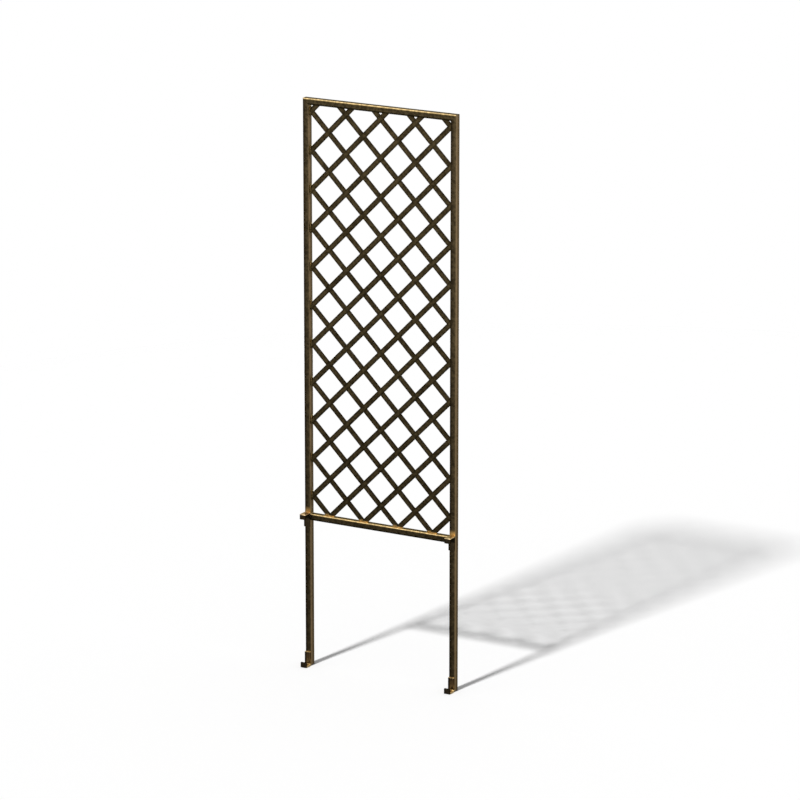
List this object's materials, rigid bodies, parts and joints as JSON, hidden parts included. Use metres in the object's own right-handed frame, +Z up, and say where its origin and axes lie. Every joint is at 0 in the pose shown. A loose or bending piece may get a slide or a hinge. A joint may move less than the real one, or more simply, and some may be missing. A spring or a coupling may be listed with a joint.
{
  "type": "garden trellis",
  "caption": "Tall welded metal trellis with a diagonal flat bar lattice in a square tube frame on two posts, with hooks and feet that hold it on the back of a planter box",
  "frame": {"origin": "bottom centre of the whole trellis, on the ground", "axes": "+Z up the posts; +X to the right as seen from the front; -Y towards the front, where the hooks and feet stick out"},
  "size_m": [0.5328, 0.0516, 1.8],
  "materials": {
    "frame_coat": "hammered bronze powder coat on steel tube",
    "lattice_coat": "hammered bronze powder coat on steel flat bar",
    "bracket_coat": "hammered bronze powder coat on bent steel plate",
    "plug_plastic": "matt black moulded plastic"
  },
  "bodies": {
    "root": {"falling_bar_01": "lattice_coat", "falling_bar_02": "lattice_coat", "falling_bar_03": "lattice_coat", "falling_bar_04": "lattice_coat", "falling_bar_05": "lattice_coat", "falling_bar_06": "lattice_coat", "falling_bar_07": "lattice_coat", "falling_bar_08": "lattice_coat", "falling_bar_09": "lattice_coat", "falling_bar_10": "lattice_coat", "falling_bar_11": "lattice_coat", "falling_bar_12": "lattice_coat", "falling_bar_13": "lattice_coat", "falling_bar_14": "lattice_coat", "falling_bar_15": "lattice_coat", "left_foot": "bracket_coat", "left_foot_plug": "plug_plastic", "left_hook": "bracket_coat", "left_post": "frame_coat", "lower_rail": "frame_coat", "right_foot": "bracket_coat", "right_foot_plug": "plug_plastic", "right_hook": "bracket_coat", "right_post": "frame_coat", "rising_bar_01": "lattice_coat", "rising_bar_02": "lattice_coat", "rising_bar_03": "lattice_coat", "rising_bar_04": "lattice_coat", "rising_bar_05": "lattice_coat", "rising_bar_06": "lattice_coat", "rising_bar_07": "lattice_coat", "rising_bar_08": "lattice_coat", "rising_bar_09": "lattice_coat", "rising_bar_10": "lattice_coat", "rising_bar_11": "lattice_coat", "rising_bar_12": "lattice_coat", "rising_bar_13": "lattice_coat", "rising_bar_14": "lattice_coat", "rising_bar_15": "lattice_coat", "top_rail": "frame_coat"}
  },
  "joints": []
}
